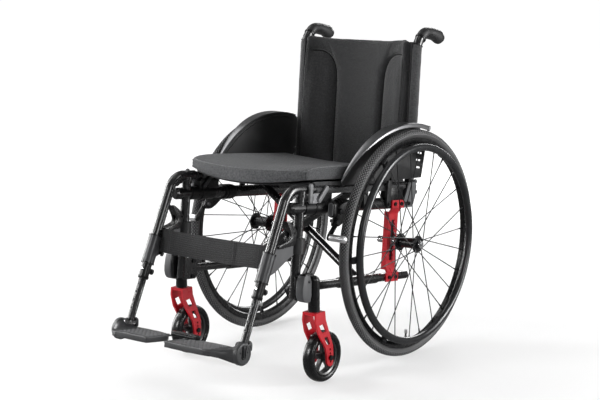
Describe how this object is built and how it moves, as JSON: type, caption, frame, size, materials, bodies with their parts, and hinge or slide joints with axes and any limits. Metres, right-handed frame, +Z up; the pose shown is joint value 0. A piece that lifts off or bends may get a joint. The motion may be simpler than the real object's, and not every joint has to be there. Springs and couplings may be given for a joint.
{
  "type": "manual wheelchair",
  "caption": "Folding manual wheelchair with a scissor frame, padded seat, sewn backrest, swing-away legrests, flip-up footplates, castors and large push-rim wheels.",
  "frame": {"origin": "on the floor, in the middle of the width and the length", "axes": "X across the chair with plus X at the sitter's left, minus Y the front, Z up"},
  "size_m": [0.5734, 0.9839, 0.839],
  "materials": {
    "frame_black": "gloss powder coat",
    "red_paint": "gloss powder coat",
    "bright_steel": "satin",
    "spoke_steel": "satin",
    "hub_alloy": "satin anodised",
    "rim_black": "satin black",
    "tyre_rubber": "matt",
    "castor_rubber": "semi-gloss",
    "grip_rubber": "matt",
    "black_plastic": "satin",
    "grey_plastic": "matt",
    "plate_plastic": "matt",
    "guard_plastic": "gloss",
    "seat_fabric": "woven",
    "sling_fabric": "woven nylon",
    "back_fabric": "woven"
  },
  "bodies": {
    "left_frame": {"left_side_frame": "frame_black", "left_castor_housing": "black_plastic", "left_castor_bracket": "grey_plastic", "left_axle_plate": "red_paint", "left_wheel_axle": "bright_steel", "left_back_bracket": "grey_plastic", "left_back_post": "frame_black", "left_push_grip": "grip_rubber", "left_side_guard": "guard_plastic", "left_tube_clamps": "grey_plastic", "left_frame_bolts": "bright_steel", "backrest": "back_fabric"},
    "left_wheel": {"left_tyre": "tyre_rubber", "left_rim": "rim_black", "left_spokes": "spoke_steel", "left_hub": "hub_alloy", "left_pushrim": "rim_black"},
    "left_axle_release": {"left_axle_button": "bright_steel"},
    "left_castor_swivel": {"left_castor_fork": "red_paint", "left_castor_axle": "bright_steel"},
    "left_castor_wheel": {"left_castor_tyre": "castor_rubber", "left_castor_hub": "black_plastic"},
    "left_legrest": {"left_hanger": "frame_black"},
    "left_leg_latch": {"left_release_lever": "grey_plastic"},
    "left_leg_tube": {"left_extension": "frame_black"},
    "left_foot_support": {"left_footplate": "plate_plastic"},
    "left_parking_lever": {"left_brake_lever": "black_plastic"},
    "left_parking_arm": {"left_brake_arm": "bright_steel"},
    "right_frame": {"right_side_frame": "frame_black", "right_castor_housing": "black_plastic", "right_castor_bracket": "grey_plastic", "right_axle_plate": "red_paint", "right_wheel_axle": "bright_steel", "right_back_bracket": "grey_plastic", "right_back_post": "frame_black", "right_push_grip": "grip_rubber", "right_side_guard": "guard_plastic", "right_tube_clamps": "grey_plastic", "right_frame_bolts": "bright_steel"},
    "right_wheel": {"right_tyre": "tyre_rubber", "right_rim": "rim_black", "right_spokes": "spoke_steel", "right_hub": "hub_alloy", "right_pushrim": "rim_black"},
    "right_axle_release": {"right_axle_button": "bright_steel"},
    "right_castor_swivel": {"right_castor_fork": "red_paint", "right_castor_axle": "bright_steel"},
    "right_castor_wheel": {"right_castor_tyre": "castor_rubber", "right_castor_hub": "black_plastic"},
    "right_legrest": {"right_hanger": "frame_black", "calf_strap": "sling_fabric"},
    "right_leg_latch": {"right_release_lever": "grey_plastic"},
    "right_leg_tube": {"right_extension": "frame_black"},
    "right_foot_support": {"right_footplate": "plate_plastic"},
    "right_parking_lever": {"right_brake_lever": "black_plastic"},
    "right_parking_arm": {"right_brake_arm": "bright_steel"},
    "scissor_a": {"crossbar_a": "frame_black"},
    "scissor_b": {"crossbar_b": "frame_black", "seat_sling": "sling_fabric", "seat_cushion": "seat_fabric"}
  },
  "joints": [
    {"name": "fold", "type": "hinge", "parent": "left_frame", "child": "scissor_a", "pos_m": [0.184, 0.1969, 0.199], "axis": [0, 0.9945, -0.1045], "range_deg": [0, 39], "deforming": ["seat_cushion", "seat_sling", "backrest", "calf_strap"]},
    {"name": "scissor_pivot", "type": "hinge", "parent": "scissor_a", "child": "scissor_b", "pos_m": [0, 0.20936, 0.3176], "axis": [0, 0.9945, -0.1045], "range_deg": [-78, 0]},
    {"name": "fold_right", "type": "hinge", "parent": "scissor_b", "child": "right_frame", "pos_m": [-0.184, 0.1969, 0.199], "axis": [0, 0.9945, -0.1045], "range_deg": [0, 39]},
    {"name": "left_leg_swing", "type": "hinge", "parent": "left_frame", "child": "left_legrest", "pos_m": [0.184, -0.20389, 0.24113], "axis": [0, 0.1045, 0.9945], "range_deg": [0, 90]},
    {"name": "left_leg_release", "type": "hinge", "parent": "left_legrest", "child": "left_leg_latch", "pos_m": [0.184, -0.21156, 0.37868], "axis": [-1, 0, 0], "range_deg": [0, 20], "stiffness_Nm_per_rad": 0.4, "springref_deg": -14.32},
    {"name": "left_leg_length", "type": "slide", "parent": "left_legrest", "child": "left_leg_tube", "axis": [0, -0.4384, -0.8988], "range_m": [-0.05, 0.05]},
    {"name": "left_footplate_flip", "type": "hinge", "parent": "left_leg_tube", "child": "left_foot_support", "pos_m": [0.184, -0.3956, 0.141], "axis": [0, 0.9903, -0.1392], "range_deg": [0, 90]},
    {"name": "left_wheel_spin", "type": "hinge", "parent": "left_frame", "child": "left_wheel", "pos_m": [0.24475, 0.1969, 0.295], "axis": [1, 0, 0], "continuous": true},
    {"name": "left_axle_press", "type": "slide", "parent": "left_frame", "child": "left_axle_release", "axis": [-1, 0, 0], "range_m": [0, 0.0025], "stiffness_N_per_m": 300, "springref_m": -0.004},
    {"name": "left_castor_turn", "type": "hinge", "parent": "left_frame", "child": "left_castor_swivel", "pos_m": [0.217, -0.1699, 0.21], "axis": [0, 0, 1], "continuous": true},
    {"name": "left_castor_roll", "type": "hinge", "parent": "left_castor_swivel", "child": "left_castor_wheel", "pos_m": [0.217, -0.1379, 0.0638], "axis": [1, 0, 0], "continuous": true},
    {"name": "left_brake_pull", "type": "hinge", "parent": "left_frame", "child": "left_parking_lever", "pos_m": [0.2154, -0.06114, 0.41204], "axis": [-1, 0, 0], "range_deg": [0, 45]},
    {"name": "left_brake_press", "type": "hinge", "parent": "left_frame", "child": "left_parking_arm", "pos_m": [0.2154, -0.07514, 0.38797], "axis": [1, 0, 0], "range_deg": [0, 6.3]},
    {"name": "right_leg_swing", "type": "hinge", "parent": "right_frame", "child": "right_legrest", "pos_m": [-0.184, -0.20389, 0.24113], "axis": [0, -0.1045, -0.9945], "range_deg": [0, 90]},
    {"name": "right_leg_release", "type": "hinge", "parent": "right_legrest", "child": "right_leg_latch", "pos_m": [-0.184, -0.21156, 0.37868], "axis": [-1, 0, 0], "range_deg": [0, 20], "stiffness_Nm_per_rad": 0.4, "springref_deg": -14.32},
    {"name": "right_leg_length", "type": "slide", "parent": "right_legrest", "child": "right_leg_tube", "axis": [0, -0.4384, -0.8988], "range_m": [-0.05, 0.05]},
    {"name": "right_footplate_flip", "type": "hinge", "parent": "right_leg_tube", "child": "right_foot_support", "pos_m": [-0.184, -0.3956, 0.141], "axis": [0, -0.9903, 0.1392], "range_deg": [0, 90]},
    {"name": "right_wheel_spin", "type": "hinge", "parent": "right_frame", "child": "right_wheel", "pos_m": [-0.24475, 0.1969, 0.295], "axis": [1, 0, 0], "continuous": true},
    {"name": "right_axle_press", "type": "slide", "parent": "right_frame", "child": "right_axle_release", "axis": [1, 0, 0], "range_m": [0, 0.0025], "stiffness_N_per_m": 300, "springref_m": -0.004},
    {"name": "right_castor_turn", "type": "hinge", "parent": "right_frame", "child": "right_castor_swivel", "pos_m": [-0.217, -0.1699, 0.21], "axis": [0, 0, 1], "continuous": true},
    {"name": "right_castor_roll", "type": "hinge", "parent": "right_castor_swivel", "child": "right_castor_wheel", "pos_m": [-0.217, -0.1379, 0.0638], "axis": [1, 0, 0], "continuous": true},
    {"name": "right_brake_pull", "type": "hinge", "parent": "right_frame", "child": "right_parking_lever", "pos_m": [-0.2154, -0.06114, 0.41204], "axis": [-1, 0, 0], "range_deg": [0, 45]},
    {"name": "right_brake_press", "type": "hinge", "parent": "right_frame", "child": "right_parking_arm", "pos_m": [-0.2154, -0.07514, 0.38797], "axis": [1, 0, 0], "range_deg": [0, 6.3]}
  ],
  "couplings": [
    {"joint": "scissor_pivot", "follows": "fold", "ratio": -2},
    {"joint": "fold_right", "follows": "fold", "ratio": 1},
    {"joint": "left_footplate_flip", "follows": "fold", "ratio": 2.3},
    {"joint": "left_brake_press", "follows": "left_brake_pull", "ratio": 0.14},
    {"joint": "right_footplate_flip", "follows": "fold", "ratio": 2.3},
    {"joint": "right_brake_press", "follows": "right_brake_pull", "ratio": 0.14}
  ]
}
